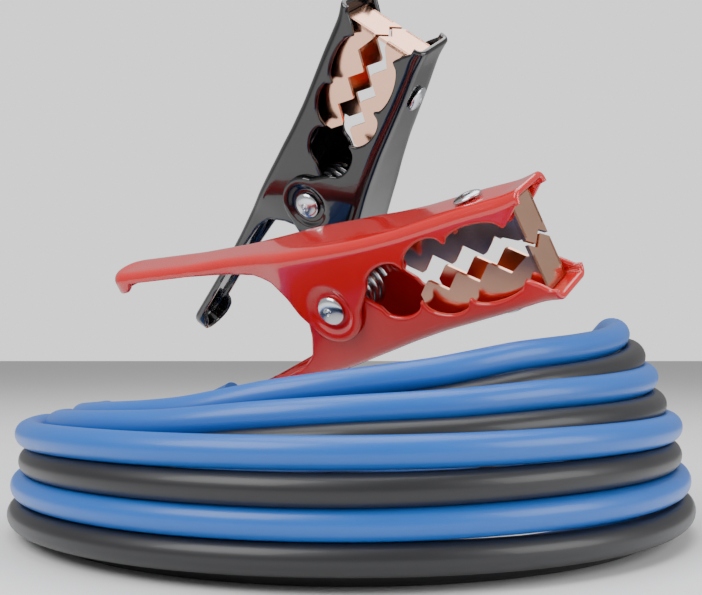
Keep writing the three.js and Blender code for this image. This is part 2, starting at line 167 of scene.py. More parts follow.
def mottle_group() -> bpy.types.NodeTree:
    """The shared shader group that varies a colour and a roughness and adds a faint bump.

    Returns:
        The node tree, made once.
    """
    known = bpy.data.node_groups.get("mottle")
    if known:
        return known
    tree = bpy.data.node_groups.new("mottle", "ShaderNodeTree")
    for name, kind, value in (
        ("Color", "NodeSocketColor", (0.5, 0.5, 0.5, 1)),
        ("Roughness", "NodeSocketFloat", 0.4),
        ("Amount", "NodeSocketFloat", 0.06),
        ("Scale", "NodeSocketFloat", 90.0),
        ("Bump", "NodeSocketFloat", 0.02),
        ("Bump Scale", "NodeSocketFloat", 260.0),
    ):
        tree.interface.new_socket(name, in_out="INPUT", socket_type=kind).default_value = value
    tree.interface.new_socket("Color", in_out="OUTPUT", socket_type="NodeSocketColor")
    tree.interface.new_socket("Roughness", in_out="OUTPUT", socket_type="NodeSocketFloat")
    tree.interface.new_socket("Normal", in_out="OUTPUT", socket_type="NodeSocketVector")
    nodes, links = tree.nodes, tree.links
    given = nodes.new("NodeGroupInput")
    out = nodes.new("NodeGroupOutput")
    place = nodes.new("ShaderNodeTexCoord")
    broad = nodes.new("ShaderNodeTexNoise")
    broad.inputs["Detail"].default_value = 3
    links.new(place.outputs["Object"], broad.inputs["Vector"])
    links.new(given.outputs["Scale"], broad.inputs["Scale"])
    centred = nodes.new("ShaderNodeMath")
    centred.operation = "SUBTRACT"
    centred.inputs[1].default_value = 0.5
    links.new(broad.outputs["Fac"], centred.inputs[0])
    swing = nodes.new("ShaderNodeMath")
    swing.operation = "MULTIPLY"
    links.new(centred.outputs[0], swing.inputs[0])
    links.new(given.outputs["Amount"], swing.inputs[1])
    gain = nodes.new("ShaderNodeMath")
    gain.operation = "ADD"
    gain.inputs[1].default_value = 1
    links.new(swing.outputs[0], gain.inputs[0])
    shade = nodes.new("ShaderNodeVectorMath")
    shade.operation = "SCALE"
    links.new(given.outputs["Color"], shade.inputs[0])
    links.new(gain.outputs[0], shade.inputs["Scale"])
    rough = nodes.new("ShaderNodeMath")
    rough.operation = "ADD"
    rough.use_clamp = True
    links.new(given.outputs["Roughness"], rough.inputs[0])
    links.new(swing.outputs[0], rough.inputs[1])
    fine = nodes.new("ShaderNodeTexNoise")
    fine.inputs["Detail"].default_value = 2
    links.new(place.outputs["Object"], fine.inputs["Vector"])
    links.new(given.outputs["Bump Scale"], fine.inputs["Scale"])
    bump = nodes.new("ShaderNodeBump")
    bump.inputs["Distance"].default_value = 0.0005
    links.new(fine.outputs["Fac"], bump.inputs["Height"])
    links.new(given.outputs["Bump"], bump.inputs["Strength"])
    links.new(shade.outputs[0], out.inputs["Color"])
    links.new(rough.outputs[0], out.inputs["Roughness"])
    links.new(bump.outputs["Normal"], out.inputs["Normal"])
    return tree


RED_VINYL = Finish("red_vinyl_dip", "red_vinyl", (0.62, 0.012, 0.014), 0.13, coat=0.6)
BLACK_VINYL = Finish("black_vinyl_dip", "black_vinyl", (0.006, 0.006, 0.007), 0.12, coat=0.6)
BLUE_JACKET = Finish("blue_cable_jacket", "blue_jacket", (0.012, 0.125, 0.5), 0.38, coat=0.1)
BLACK_JACKET = Finish("black_cable_jacket", "black_jacket", (0.014, 0.014, 0.016), 0.42, coat=0.1)
ZINC = Finish("zinc_plated_steel", "zinc_steel", (0.72, 0.75, 0.78), 0.2, metallic=1, mottle=0.2)
SPRING_STEEL = Finish("spring_steel", "zinc_steel", (0.45, 0.46, 0.48), 0.22, metallic=1, mottle=0.2)
COPPER = Finish("copper_plate", "copper", (0.92, 0.52, 0.36), 0.17, metallic=1, mottle=0.15)
FLOOR = Finish("studio_floor", "", (0.86, 0.86, 0.86), 0.7, mottle=0.01)


# Making meshes

def make_object(name: str, vertices: np.ndarray, faces: Sequence[Sequence[int]],
                smooth: bool = True) -> bpy.types.Object:
    """A mesh object at the origin, from points in metres in the part's frame.

    Args:
        name: the object's name.
        vertices: points, one row each.
        faces: corner numbers of each face.
        smooth: whether the faces are shaded smooth.

    Returns:
        The new object, linked to the scene.
    """
    mesh = bpy.data.meshes.new(name)
    mesh.from_pydata(np.asarray(vertices).tolist(), [], [list(face) for face in faces])
    mesh.validate()
    mesh.polygons.foreach_set("use_smooth", [smooth] * len(mesh.polygons))
    mesh.update()
    made = bpy.data.objects.new(name, mesh)
    bpy.context.collection.objects.link(made)
    return made


def dress(piece: bpy.types.Object, finish: Finish, body: str, nodes: Sequence[str] = ()) -> None:
    """Gives a piece its finish, its body and the solids that it stands for.

    Args:
        piece: the object to dress.
        finish: the finish it takes.
        body: the body it rides on.
        nodes: names of the solids that it replaces.
    """
    piece.data.materials.clear()
    piece.data.materials.append(finish.material())
    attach(piece, body)
    if nodes:
        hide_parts(*nodes)
    LOG.info("%s: %d faces", piece.name, len(piece.data.polygons))


def placed(matrix: Matrix, points: np.ndarray) -> np.ndarray:
    """Points taken through a matrix.

    Args:
        matrix: a 4 by 4 matrix.
        points: points, one row each.

    Returns:
        The new points as an array.
    """
    turn = np.array(matrix)
    return np.asarray(points, float) @ turn[:3, :3].T + turn[:3, 3]


def smooth_line(points: Sequence[Point], step: float) -> np.ndarray:
    """A centripetal Catmull-Rom line through the points, at even steps.

    Args:
        points: the points that the line passes.
        step: distance between the samples.

    Returns:
        The samples, one row each.
    """
    given = np.array(points, float)
    ends = np.vstack([2 * given[0] - given[1], given, 2 * given[-1] - given[-2]])
    dense = []
    for i in range(1, len(ends) - 2):
        quad = ends[i - 1:i + 3]
        spans = np.sqrt(np.linalg.norm(np.diff(quad, axis=0), axis=1))
        knots = np.concatenate([[0], np.cumsum(spans)])
        for t in np.linspace(knots[1], knots[2], 24, endpoint=False):
            level = quad
            for order in range(1, 4):
                low, high = knots[:4 - order, None], knots[order:, None]
                level = ((high - t) * level[:-1] + (t - low) * level[1:]) / (high - low)
            dense.append(level[0])
    dense.append(given[-1])
    dense = np.array(dense)
    return resampled(dense, step)


def run_nodes(name: str, source: bpy.types.Object, tree: bpy.types.NodeTree,
              values: dict[str, object]) -> bpy.types.Object:
    """Runs a geometry node tree on an object and keeps the result as a plain mesh.

    Args:
        name: the name of the finished piece.
        source: the object that the tree reads, which is deleted.
        tree: the node tree.
        values: the tree's inputs by name.

    Returns:
        The finished mesh object.
    """
    modifier = source.modifiers.new("nodes", "NODES")
    modifier.node_group = tree
    sockets = {s.name: s.identifier for s in tree.interface.items_tree if s.in_out == "INPUT"}
    for key, value in values.items():
        modifier[sockets[key]] = value
    bpy.context.view_layer.update()
    evaluated = source.evaluated_get(bpy.context.evaluated_depsgraph_get())
    mesh = bpy.data.meshes.new_from_object(evaluated)
    mesh.name = name
    bpy.data.objects.remove(source)
    made = bpy.data.objects.new(name, mesh)
    bpy.context.collection.objects.link(made)
    return made


def tube_tree() -> bpy.types.NodeTree:
    """The node tree that lays a round section along a curve.

    Returns:
        The node tree, made once.
    """
    known = bpy.data.node_groups.get("round_tube")
    if known:
        return known
    tree = bpy.data.node_groups.new("round_tube", "GeometryNodeTree")
    tree.interface.new_socket("Geometry", in_out="INPUT", socket_type="NodeSocketGeometry")
    tree.interface.new_socket("Radius", in_out="INPUT", socket_type="NodeSocketFloat")
    tree.interface.new_socket("Sides", in_out="INPUT", socket_type="NodeSocketInt")
    tree.interface.new_socket("Material", in_out="INPUT", socket_type="NodeSocketMaterial")
    tree.interface.new_socket("Geometry", in_out="OUTPUT", socket_type="NodeSocketGeometry")
    nodes, links = tree.nodes, tree.links
    given, out = nodes.new("NodeGroupInput"), nodes.new("NodeGroupOutput")
    section = nodes.new("GeometryNodeCurvePrimitiveCircle")
    links.new(given.outputs["Sides"], section.inputs["Resolution"])
    links.new(given.outputs["Radius"], section.inputs["Radius"])
    sweep = nodes.new("GeometryNodeCurveToMesh")
    sweep.inputs["Fill Caps"].default_value = True
    links.new(given.outputs["Geometry"], sweep.inputs["Curve"])
    links.new(section.outputs["Curve"], sweep.inputs["Profile Curve"])
    smooth = nodes.new("GeometryNodeSetShadeSmooth")
    links.new(sweep.outputs["Mesh"], smooth.inputs["Geometry"])
    whole = nodes.new("GeometryNodeRealizeInstances")
    links.new(smooth.outputs["Geometry"], whole.inputs["Geometry"])
    painted = nodes.new("GeometryNodeSetMaterial")
    links.new(whole.outputs["Geometry"], painted.inputs["Geometry"])
    links.new(given.outputs["Material"], painted.inputs["Material"])
    links.new(painted.outputs["Geometry"], out.inputs["Geometry"])
    return tree


def tube(name: str, line: np.ndarray, radius: float, sides: int, finish: Finish) -> bpy.types.Object:
    """A closed round tube along a line.

    Args:
        name: the piece's name.
        line: points in metres in the part's frame.
        radius: in metres.
        sides: sides of the section.
        finish: its finish.

    Returns:
        The mesh object.
    """
    curve = bpy.data.curves.new(name + "_line", "CURVE")
    curve.dimensions = "3D"
    spline = curve.splines.new("POLY")
    spline.points.add(len(line) - 1)
    spline.points.foreach_set("co", np.column_stack([line, np.ones(len(line))]).ravel())
    source = bpy.data.objects.new(name + "_line", curve)
    bpy.context.collection.objects.link(source)
    return run_nodes(name, source, tube_tree(),
                     {"Radius": radius, "Sides": sides, "Material": finish.material()})


# The coil and its leads

STATION_ANGLES = (0, 50, 90, 130, 180, 215, 270, 292, 318)
FLOOR_LINE = 4.0
SECOND_LINE = 11.2
THIRD_LINE = 18.2


@dataclass(frozen=True)
class Cable:
    """One insulated lead, from its near clamp through the coil to its far clamp.

    The turns are given lowest first, as the radius and the height of the centre line at each
    station angle, which runs from the right round the front to the left and the back.
    """

    name: str
    finish: Finish
    near_clamp: str
    far_clamp: str
    near_side: Side
    turns: Sequence[Sequence[Point]]
    near_route: Sequence[Point]
    far_route: Sequence[Point]
    replaced: Sequence[str]
    diameter: float = 8.0
    sides: int = 28
    point_angle: float = 15.0
    line_step: float = 0.003

    def turn_points(self) -> list[Point]:
        """The centre line through the coil.

        Returns:
            Points in millimetres in the coil's frame, one each step of the turn.
        """
        angles, stations = [], []
        for number, turn in enumerate(self.turns):
            for angle, station in zip(STATION_ANGLES, turn):
                angles.append(360 * number + angle)
                stations.append(station)
        table = np.array(stations, float)
        points = []
        for angle in np.arange(0, angles[-1] + 1e-6, self.point_angle):
            i = min(int(np.searchsorted(angles, angle, side="right")) - 1, len(angles) - 2)
            t = (angle - angles[i]) / (angles[i + 1] - angles[i])
            blend = 0.5 * (t + (1 - math.cos(math.pi * t)) / 2)
            radius, height = table[i] + (table[i + 1] - table[i]) * blend
            turn = math.radians(-angle)
            points.append((radius * math.cos(turn), radius * math.sin(turn), height))
        return points

    def line(self, clamps: dict[str, "Clamp"]) -> np.ndarray:
        """The whole centre line.

        Args:
            clamps: the clamps by name.

        Returns:
            Samples in metres in the part's frame.
        """
        near = clamps[self.near_clamp].cable_points(self.near_side)
        far = clamps[self.far_clamp].cable_points(Side.INNER)
        middle = [*self.near_route, *self.turn_points(), *reversed(self.far_route)]
        route = [*near, *(Vector(p) * MM + OFFSET for p in middle), *reversed(far)]
        return smooth_line([tuple(p) for p in route], self.line_step)

    def build(self, clamps: dict[str, "Clamp"]) -> bpy.types.Object:
        """Args:
            clamps: the clamps by name.

        Returns:
            The cable's mesh object.
        """
        line = self.line(clamps)
        piece = tube(self.name, line, self.diameter / 2 * MM, self.sides, self.finish)
        dress(piece, self.finish, FIXED_BODY, self.replaced)
        tuple(clamps[self.near_clamp].cable_points(self.near_side)[-1])
        return piece


BLUE_CABLE = Cable(
    "blue_cable", BLUE_JACKET, "near_red", "far_red", Side.INNER,
    turns=(
        ((88, FLOOR_LINE), (90, FLOOR_LINE), (90.3, FLOOR_LINE), (89.5, FLOOR_LINE), (88, FLOOR_LINE),
         (101, FLOOR_LINE), (110, FLOOR_LINE), (103, FLOOR_LINE), (104.5, 18.5)),
        ((102.5, 16.6), (105.5, 16.3), (106, 15.7), (105, 15.4), (103, 14.6),
         (113, SECOND_LINE), (122, SECOND_LINE), (115, SECOND_LINE), (109, 29.2)),
        ((99.4, 32.3), (104.6, 32.4), (105.8, 31.6), (105, 31.2), (101.3, 29.4),
         (117, THIRD_LINE), (126, THIRD_LINE), (119, THIRD_LINE), (110, 37.3)),
        ((94.8, 47.6), (94.6, 44), (94.4, 40.2), (94, 35), (93.9, 31),
         (101, THIRD_LINE), (110, THIRD_LINE), (103, THIRD_LINE), (96.5, 42.2)),
        ((87, 61.4), (85, 54.6), (83.8, 46.3), (85.8, 37.2), (86.8, 33.2)),
    ),
    near_route=((-66.5, 71, 28.6), (-68, 84, 26.8), (-65, 98, 26.8), (-58, 114, 24.5), (-46, 127, 17),
                (-29, 135, 9), (-8, 138, 5), (14, 138, 4.3), (37, 134, 4.2), (59, 124, 4.2),
                (77, 109, 4.2), (87, 90, 4.2), (89.4, 64.9, 4), (89.9, 43.8, 4), (89.3, 22.3, 4)),
    far_route=((-111, 215.5, 8.2), (-124, 205, 7.2), (-131, 188, 6), (-136, 164, 5), (-139, 138, 6.5),
               (-137, 113, 12), (-127, 93, 19), (-113.5, 75, 26), (-99.5, 58, 28.4), (-92, 40, 31.5),
               (-88.5, 20, 32.5)),
    replaced=("near_blue_lead", "far_blue_lead", "cable_coil"),
)
BLACK_CABLE = Cable(
    "black_cable", BLACK_JACKET, "near_black", "far_black", Side.OUTER,
    turns=(
        ((96, FLOOR_LINE), (98, FLOOR_LINE), (98.3, FLOOR_LINE), (97.6, FLOOR_LINE), (96, FLOOR_LINE),
         (109, FLOOR_LINE), (118, FLOOR_LINE), (111, FLOOR_LINE), (112.5, 14.5)),
        ((104, 7.8), (106, 7.6), (106, 7.8), (105.4, 7.3), (104, 6),
         (117, FLOOR_LINE), (126, FLOOR_LINE), (119, FLOOR_LINE), (113.5, 22.5)),
        ((98.5, 24.2), (105, 24.4), (107, 23.4), (105, 23.3), (99.3, 21.8),
         (105, SECOND_LINE), (114, SECOND_LINE), (107, SECOND_LINE), (101.5, 32)),
        ((96, 39.6), (99, 36.8), (98.3, 33.9), (95.5, 28.4), (91.5, 21),
         (109, THIRD_LINE), (118, THIRD_LINE), (111, THIRD_LINE), (104.5, 43.8)),
        ((91.7, 54.8), (89.5, 47.2), (86.8, 39), (86, 31.2), (85, 25.5)),
    ),
    near_route=((-18.5, 109, 30.8), (-16.5, 117, 28.4), (-11, 125, 27), (-1, 130.5, 26.6), (13, 132.5, 24.5),
                (28, 133, 20.5), (44, 133, 16), (61, 130, 12.8), (78, 121, 8.5), (90, 106, 4.8),
                (95.3, 90, 4.2), (97.6, 66, 4), (98.1, 44, 4), (97.4, 22, 4)),
    far_route=((-111, 139, 8.4), (-121, 128, 8.4), (-124, 114, 9.6), (-115, 95, 16), (-101, 77, 24.4),
               (-90.5, 62, 28.6), (-84.5, 43, 28), (-85.2, 22, 26.3)),
    replaced=("near_black_lead", "far_black_lead"),
)


# Clamps

def blurred(stations: Sequence[Point], reach: float) -> Profile:
    """A smooth function through rough stations.

    Args:
        stations: pairs of place and value.
        reach: how far the corners are rounded.

    Returns:
        A function of place.
    """
    xs, ys = (np.array(column, float) for column in zip(*stations))
    step = 0.5
    grid = np.arange(xs[0] - 4 * reach, xs[-1] + 4 * reach, step)
    raw = np.interp(grid, xs, ys)
    raw = np.where(grid < xs[0], ys[0] + (grid - xs[0]) * (ys[1] - ys[0]) / (xs[1] - xs[0]), raw)
    raw = np.where(grid > xs[-1], ys[-1] + (grid - xs[-1]) * (ys[-1] - ys[-2]) / (xs[-1] - xs[-2]), raw)
    half = max(1, int(reach / step))
    kernel = np.hanning(2 * half + 3)[1:-1]
    padded = np.pad(raw, half, mode="edge")
    soft = np.convolve(padded, kernel / kernel.sum(), mode="valid")
    return lambda place: np.interp(place, grid, soft)


def arc(x: float, y: float, radius: float, start: float, end: float, steps: int) -> list[Point]:
    """Points on an arc.

    Args:
        x: the centre's first coordinate.
        y: the centre's second coordinate.
        radius: the radius.
        start: first angle in degrees.
        end: last angle in degrees.
        steps: number of steps.

    Returns:
        The points, both ends included.
    """
    angles = np.radians(np.linspace(start, end, steps + 1))
    return [(x + radius * math.cos(a), y + radius * math.sin(a)) for a in angles]


def bite(start: Point, end: Point, depth: float, steps: int = 14) -> list[Point]:
    """A bulging bite between two cusps.

    Args:
        start: first cusp.
        end: second cusp.
        depth: height of the bulge.
        steps: number of steps.

    Returns:
        The points from the first cusp up to the second, which is left out.
    """
    points = []
    for t in np.arange(steps) / steps:
        bulge = depth * math.sqrt(max(0.0, 1 - (2 * t - 1) ** 2))
        points.append((start[0] + (end[0] - start[0]) * t, start[1] + (end[1] - start[1]) * t + bulge))
    return points


def resampled(points: Sequence[Point], step: float) -> np.ndarray:
    """A polyline at even steps.

    Args:
        points: its corners.
        step: distance between samples.

    Returns:
        The samples, one row each.
    """
    given = np.array(points, float)
    run = np.concatenate([[0], np.cumsum(np.linalg.norm(np.diff(given, axis=0), axis=1))])
    marks = np.linspace(0, run[-1], int(run[-1] / step) + 1)
    return np.column_stack([np.interp(marks, run, given[:, k]) for k in range(given.shape[1])])


@dataclass(frozen=True)
class Shell:
    """One stamped and dipped shell of a clamp, as a sheet with a rounded rim."""

    side: Side
    holds_cable: bool
    length: float = 102.0
    nose: float = 74.0
    wall: float = 2.0
    corner: float = 3.4
    least_wall: float = 0.5
    ear_radius: float = 11.0
    ear_half_width: float = 14.6
    ear_clearance: float = 0.3
    handle_half_width: float = 9.3
    nose_half_width: float = 9.6
    end_radius: float = 9.0
    end_power: float = 2.6
    dish_radius: float = 8.7
    dish_slope: float = 2.2
    dish_depth: float = 1.0
    dish_half_width: float = 6.0
    edge_step: float = 0.8
    even_share: float = 0.45
    wall_steps: int = 23
    corner_steps: int = 5
    back_steps: int = 3
    welds_per_mm: float = 400.0

    def half_width(self) -> Profile:
        """The shell's half width along the clamp."""
        inner = self.side is Side.INNER
        ear = self.ear_half_width - (self.wall + self.ear_clearance if inner else 0)
        handle, nose = self.handle_half_width, self.nose_half_width
        early, late = (0.26, 0.8) if inner else (0.5, 0.98)
        return blurred([(-120, handle), (-38, handle), (-22, handle + early * (ear - handle)),
                        (-12, handle + late * (ear - handle)), (-2, ear), (14, ear),
                        (34, 0.6 * ear + 0.4 * nose), (55, 0.2 * ear + 0.8 * nose), (69, nose),
                        (80, nose + 1.2)], 5)

    def top(self) -> Profile:
        """The height of the shell's back along the clamp."""
        return blurred([(-102, 35.4), (-63, 28.8), (-38, 25.5), (-13, 22.5), (6, 20), (22, 18.1),
                        (34, 17.2), (55, 16.8), (68, 16.1), (76, 17.0)], 4)

    def free_edge(self) -> np.ndarray:
        """The side wall's free edge: the handle, the ear, three bites and the nose."""
        cusps = ((17, 3.8), (31.2, 5.2), (47, 8.4), (66, 7.6))
        if self.holds_cable:
            points = [(-self.length, 31.2), (-96, 30.6)]
        else:
            points = [(-self.length, 27.2), (-99, 26.8), (-94, 26.8), (-91.8, 27.8), (-90.4, 29.9)]
        points += [(-84, 29.2), (-60, 24.9), (-40, 20.8), (-27, 17.9), (-20, 14), (-15.6, 7.4), (-13.4, 1)]
        points += arc(0, 0, self.ear_radius, 200, 345, 22)
        points += [(13.2, -0.2)]
        for start, end, depth in zip(cusps, cusps[1:], (4.4, 5.2, 3.8)):
            points += bite(start, end, depth)
        points += [cusps[-1], (69.5, 10.2), (72.2, 12.6), (self.nose - 0.4, 14.2), (self.nose, 16.2)]
        even = resampled(points, 0.25)
        kernel = np.hanning(9)
        kernel /= kernel.sum()
        padded = np.pad(even, ((4, 4), (0, 0)), mode="edge")
        soft = np.column_stack([np.convolve(padded[:, k], kernel, mode="valid") for k in range(2)])
        soft[0], soft[-1] = even[0], even[-1]
        return resampled(soft, self.edge_step)

    def places(self) -> list[list[float]]:
        """Where the sheet's columns stand, close together at both ends of the shell.

        Returns:
            For each column the free edge's place and height, and the place along the back.
        """
        edge = self.free_edge()
        count = len(edge)
        along = np.linspace(-self.length, self.nose, count)
        back = self.even_share * along + (1 - self.even_share) * np.maximum.accumulate(edge[:, 0])
        back[:2], back[-1] = edge[:2, 0], self.nose
        back = np.clip(back, -self.length, self.nose)
        first = (0, 0.02, 0.06, 0.14, 0.25, 0.4, 0.6, 0.8)
        last = count - 1 - np.array((1.6, 1.1, 0.6, 0.25, 0))
        marks = np.concatenate([first, np.arange(1, count - 2), last])
        table = np.column_stack([edge, back])
        return [[np.interp(mark, np.arange(count), table[:, k]) for k in range(3)] for mark in marks]

    def column(self, edge: Point, back: float, width: Profile, top: Profile) -> list[Point]:
        """One column of the sheet: up the side wall, round the corner and to the back's middle.

        Args:
            edge: the free edge's place and height.
            back: the place along the back.
            width: the half width along the clamp.
            top: the back's height along the clamp.

        Returns:
            The column's points.
        """
        inset = self.wall / 2
        corner = self.corner - inset
        foot = top(back) - inset - corner
        low = min(edge[1], foot - self.least_wall)
        height = foot - low
        rim = np.array([0, 0.12, 0.4, 0.8, 1.3])
        shares = np.linspace(0, 1, len(rim) + self.wall_steps)
        if height > 2.5 * rim[-1]:
            above = np.linspace(rim[-1], height, self.wall_steps + 1)[1:]
            shares = np.concatenate([rim, above]) / height
        points = []
        for share in shares:
            a = edge[0] + (back - edge[0]) * share
            points.append((a, low + height * share, max(self.plan_half(a, width) - inset, 0.0)))
        half = max(self.plan_half(back, width) - inset, 0.0)
        slope = self.plan_half(back + 0.05, width) - self.plan_half(back - 0.05, width)
        upright = half > 0 or self.holds_cable
        lean = Vector((-slope, 0.1)).normalized() if upright else Vector((-1, 0))
        for angle in np.radians(np.linspace(0, 90, self.corner_steps + 1))[1:]:
            inward = corner * (1 - math.cos(angle))
            across = max(half - lean[1] * inward, 0.0)
            points.append((back - lean[0] * inward, foot + corner * math.sin(angle), across))
        last_a, last_b, last_c = points[-1]
        for share in np.linspace(0, 1, self.back_steps + 1)[1:]:
            points.append((last_a, last_b, last_c * (1 - share)))
        return points

    def sheet(self) -> tuple[np.ndarray, np.ndarray]:
        """The shell's middle surface.

        Returns:
            Its points, row by row, and its four-sided faces.
        """
        width, top = self.half_width(), self.top()
        half_grid = np.array([self.column((a, b), back, width, top) for a, b, back in self.places()])
        mirrored = half_grid[:, -2::-1].copy()
        mirrored[..., 2] *= -1
        grid = np.concatenate([half_grid, mirrored], axis=1)
        high, wide = grid.shape[:2]
        faces = [(i * wide + j, i * wide + j + 1, (i + 1) * wide + j + 1, (i + 1) * wide + j)
                 for i in range(high - 1) for j in range(wide - 1)]
        return grid.reshape(-1, 3), np.array(faces)

    def plan_half(self, a: float, width: Profile) -> float:
        """The half width in plan, with a rounded end on the handle that holds no cable.

        Args:
            a: the place along the clamp.
            width: the half width along the clamp.

        Returns:
            The half width there.
        """
        half = float(width(a))
        start = -self.length + self.end_radius
        if not self.holds_cable and a < start:
            t = min(1.0, (start - a) / self.end_radius)
            round_share = math.sqrt(max(0.0, 1 - t ** self.end_power))
            half = self.wall / 2 + (half - self.wall / 2) * round_share
        return half

    def solid(self) -> tuple[np.ndarray, np.ndarray]:
        """The shell with its thickness, its rounded rim and the dish round the pivot.

        Returns:
            Points in the clamp's frame and faces with four corners, some of them the same.
        """
        points, faces = self.sheet()
        keys = np.round(points * self.welds_per_mm).astype(np.int64)
        _, first, which = np.unique(keys, axis=0, return_index=True, return_inverse=True)
        points = points[first]
        quads = which.reshape(-1)[faces]
        normals = np.zeros_like(points)
        across = np.cross(points[quads[:, 2]] - points[quads[:, 0]], points[quads[:, 3]] - points[quads[:, 1]])
        for corner in range(4):
            np.add.at(normals, quads[:, corner], across)
        normals /= np.maximum(np.linalg.norm(normals, axis=1, keepdims=True), 1e-9)
        if np.sum(normals[:, 1]) < 0:
            normals = -normals
            quads = quads[:, ::-1]
        rim = rim_of(quads)
        half = self.wall / 2
        swell = half * np.sqrt(np.clip(1 - (1 - np.clip(gaps_to(points, rim) / half, 0, 1)) ** 2, 0, 1))
        dish = np.clip((self.dish_radius - np.hypot(points[:, 0], points[:, 1])) / self.dish_slope, 0, 1)
        dish = self.dish_depth * dish * dish * (3 - 2 * dish)
        dish *= np.abs(points[:, 2]) > self.dish_half_width
        outside = points + normals * (swell - dish)[:, None]
        inside = points - normals * swell[:, None]
        index = np.arange(len(points))
        inner_index = np.where(np.isin(index, rim), index, index + len(points))
        vertices = np.concatenate([outside, inside])
        both = np.concatenate([quads, inner_index[quads][:, ::-1]])
        used, compact = np.unique(both, return_inverse=True)
        return vertices[used], compact.reshape(both.shape)

    def build(self, name: str, matrix: Matrix) -> bpy.types.Object:
        """Makes the shell.

        Args:
            name: the piece's name.
            matrix: the clamp's frame.

        Returns:
            The mesh object.
        """
        vertices, quads = self.solid()
        faces = [corners for corners in (list(dict.fromkeys(quad)) for quad in quads.tolist())
                 if len(corners) > 2]
        if self.side is Side.INNER:
            vertices = vertices * np.array([1, -1, -1])
        return make_object(name, placed(matrix, vertices), faces)


def rim_of(quads: np.ndarray) -> np.ndarray:
    """The points on the open rim of a sheet.

    Args:
        quads: corner numbers of its faces.

    Returns:
        The numbers of the points whose edge belongs to one face only.
    """
    pairs = np.sort(np.concatenate([quads[:, [k, (k + 1) % 4]] for k in range(4)]), axis=1)
    pairs = pairs[pairs[:, 0] != pairs[:, 1]]
    unique, uses = np.unique(pairs, axis=0, return_counts=True)
    return np.unique(unique[uses == 1])


def gaps_to(points: np.ndarray, chosen: np.ndarray) -> np.ndarray:
    """Each point's distance to the nearest of some chosen points.

    Args:
        points: points, one row each.
        chosen: the chosen points' numbers.

    Returns:
        The distances.
    """
    near = np.empty(len(points))
    for chunk in np.array_split(np.arange(len(points)), 40):
        near[chunk] = np.linalg.norm(points[chunk, None] - points[None, chosen], axis=2).min(axis=1)
    return near


def prism(outline: Sequence[Point], low: float, high: float) -> Mesh:
    """An outline raised along the pivot's direction.

    Args:
        outline: corners, the wanted side on the left.
        low: first height.
        high: second height.

    Returns:
        Points and faces.
    """
    count = len(outline)
    points = [(x, y, z) for z in (low, high) for x, y in outline]
    faces = [list(range(count))[::-1], list(range(count, 2 * count))]
    for i in range(count):
        j = (i + 1) % count
        faces.append([i, j, j + count, i + count])
    return np.array(points, float), faces


def turned(profile: Sequence[Point], sides: int) -> Mesh:
    """A profile of radius and height turned about the pivot's direction.

    Args:
        profile: points from one end on the axis to the other.
        sides: number of steps round.

    Returns:
        Points and faces.
    """
    points, faces = [], []
    for step in range(sides):
        angle = 2 * math.pi * step / sides
        points += [(r * math.cos(angle), r * math.sin(angle), z) for r, z in profile]
    count = len(profile)
    for step in range(sides):
        following = (step + 1) % sides
        for k in range(count - 1):
            faces.append([step * count + k, following * count + k,
                          following * count + k + 1, step * count + k + 1])
    return np.array(points, float), faces


def merged(parts: Sequence[Mesh]) -> Mesh:
    """Several meshes as one.

    Args:
        parts: points and faces of each mesh.

    Returns:
        Points and faces of all of them.
    """
    points, faces, start = [], [], 0
    for part_points, part_faces in parts:
        points.append(part_points)
        faces += [[i + start for i in face] for face in part_faces]
        start += len(part_points)
    return np.concatenate(points), faces


@dataclass(frozen=True)
class Rivet:
    """A rivet with a domed head at each end and a small ring pressed into each head."""

    radius: float
    head_radius: float
    head_height: float
    low: float
    high: float
    ring: float
    rim: float = 0.25
    groove: float = 0.25

    def head(self, base: float, way: int) -> list[Point]:
        """Radius and height over one head, from its underside to its middle.

        Args:
            base: the height of its underside.
            way: 1 for the upper head and -1 for the lower one.

        Returns:
            The points.
        """
        points = [(self.head_radius - self.rim, base), (self.head_radius, base + self.rim * way)]
        for angle in np.radians(np.linspace(8, 90, 9)):
            rise = self.rim + (self.head_height - self.rim) * math.sin(angle)
            points.append((self.head_radius * math.cos(angle), base + way * rise))
        top = base + way * self.head_height
        points[-1] = (self.ring, top - 0.04 * way)
        points += [(self.ring * 0.8, top - self.groove * way), (self.ring * 0.55, top - 0.05 * way), (0, top)]
        return points

    def profile(self) -> list[Point]:
        """Radius and height from the lower end to the upper one."""
        return [*reversed(self.head(self.low, -1)), (self.radius, self.low), (self.radius, self.high),
                *self.head(self.high, 1)]


